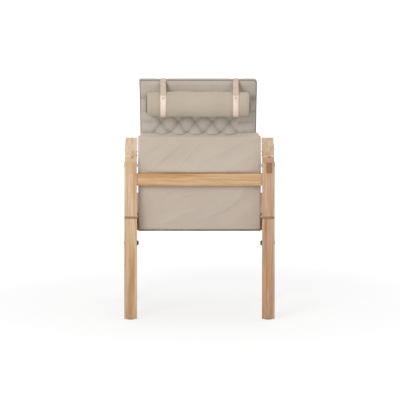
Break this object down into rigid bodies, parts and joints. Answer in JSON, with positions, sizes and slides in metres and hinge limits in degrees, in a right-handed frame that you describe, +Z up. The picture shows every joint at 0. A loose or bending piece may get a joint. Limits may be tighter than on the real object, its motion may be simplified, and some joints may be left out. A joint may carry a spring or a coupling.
{
  "type": "lounge chair",
  "caption": "Oak lounge chair with flat arms, a canvas back that leans on a cross bar, tufted canvas cushions and neck rolls hung on leather straps.",
  "frame": {"origin": "on the floor, at the middle of the box round the whole chair", "axes": "+Z is up, +X is to the right for someone who stands behind the chair and looks the way the sitter looks, and the sitter faces +Y, so the reference picture, taken from behind, looks along +Y"},
  "size_m": [0.6076, 0.6734, 0.9828],
  "materials": {
    "oak": "oiled",
    "arm_oak": "oiled",
    "canvas": "plain weave",
    "webbing": "jute weave",
    "cushion_canvas": "plain weave",
    "leather": "natural, unfinished edge",
    "black_steel": "satin black",
    "bright_steel": "brushed",
    "brass": "plain",
    "rubber": "matt"
  },
  "bodies": {
    "frame": {"rear_leg_left": "oak", "rear_leg_right": "oak", "rear_upright_left": "oak", "rear_upright_right": "oak", "front_leg_left": "oak", "front_leg_right": "oak", "armrest_left": "arm_oak", "armrest_right": "arm_oak", "side_rail_left": "oak", "side_rail_right": "oak", "front_rail": "oak", "rear_rail": "oak", "back_bar": "arm_oak", "seat_webbing": "webbing", "seat_canvas": "canvas", "seat_cushion": "cushion_canvas", "arm_bolts": "black_steel", "arm_bolt_heads": "black_steel", "rail_bolts": "black_steel", "rail_washers": "black_steel", "lap_screws": "black_steel", "rear_rail_screws": "black_steel", "foot_glides": "rubber", "hinge_bracket_left": "black_steel", "hinge_bracket_right": "black_steel", "bracket_screws": "black_steel", "hinge_pins": "bright_steel", "hinge_spacers": "bright_steel", "arm_studs": "black_steel"},
    "back": {"back_stile_left": "oak", "back_stile_right": "oak", "back_bottom_rail": "oak", "back_lumbar_rail": "oak", "back_mid_rail": "oak", "headrest_post_left": "oak", "headrest_post_right": "oak", "headrest_rail": "oak", "hinge_bushes": "brass", "hinge_washers": "leather", "back_canvas": "canvas", "back_cushion": "cushion_canvas", "leather_tab_left": "leather", "leather_tab_right": "leather", "tab_studs": "bright_steel", "rear_strap_left": "leather", "rear_strap_right": "leather", "front_strap_left": "leather", "front_strap_right": "leather"},
    "rear_roll": {"rear_roll": "cushion_canvas", "rear_roll_loops": "leather", "rear_roll_studs": "bright_steel"},
    "neck_roll": {"neck_roll": "cushion_canvas", "neck_roll_loops": "leather", "neck_roll_studs": "bright_steel"}
  },
  "joints": [
    {"name": "back_fold", "type": "hinge", "parent": "frame", "child": "back", "pos_m": [0, -0.11435, 0.407], "axis": [-1, 0, 0], "range_deg": [0, 20]},
    {"name": "neck_roll_slide", "type": "slide", "parent": "back", "child": "neck_roll", "axis": [0, 0.2079, -0.9781], "range_m": [-0.03, 0.04], "deforming": ["front_strap_left", "front_strap_right"]},
    {"name": "rear_roll_slide", "type": "slide", "parent": "back", "child": "rear_roll", "axis": [0, -0.2079, 0.9781], "range_m": [-0.03, 0.04], "deforming": ["rear_strap_left", "rear_strap_right"]}
  ],
  "couplings": [
    {"joint": "neck_roll_slide", "follows": "rear_roll_slide", "ratio": 1}
  ]
}
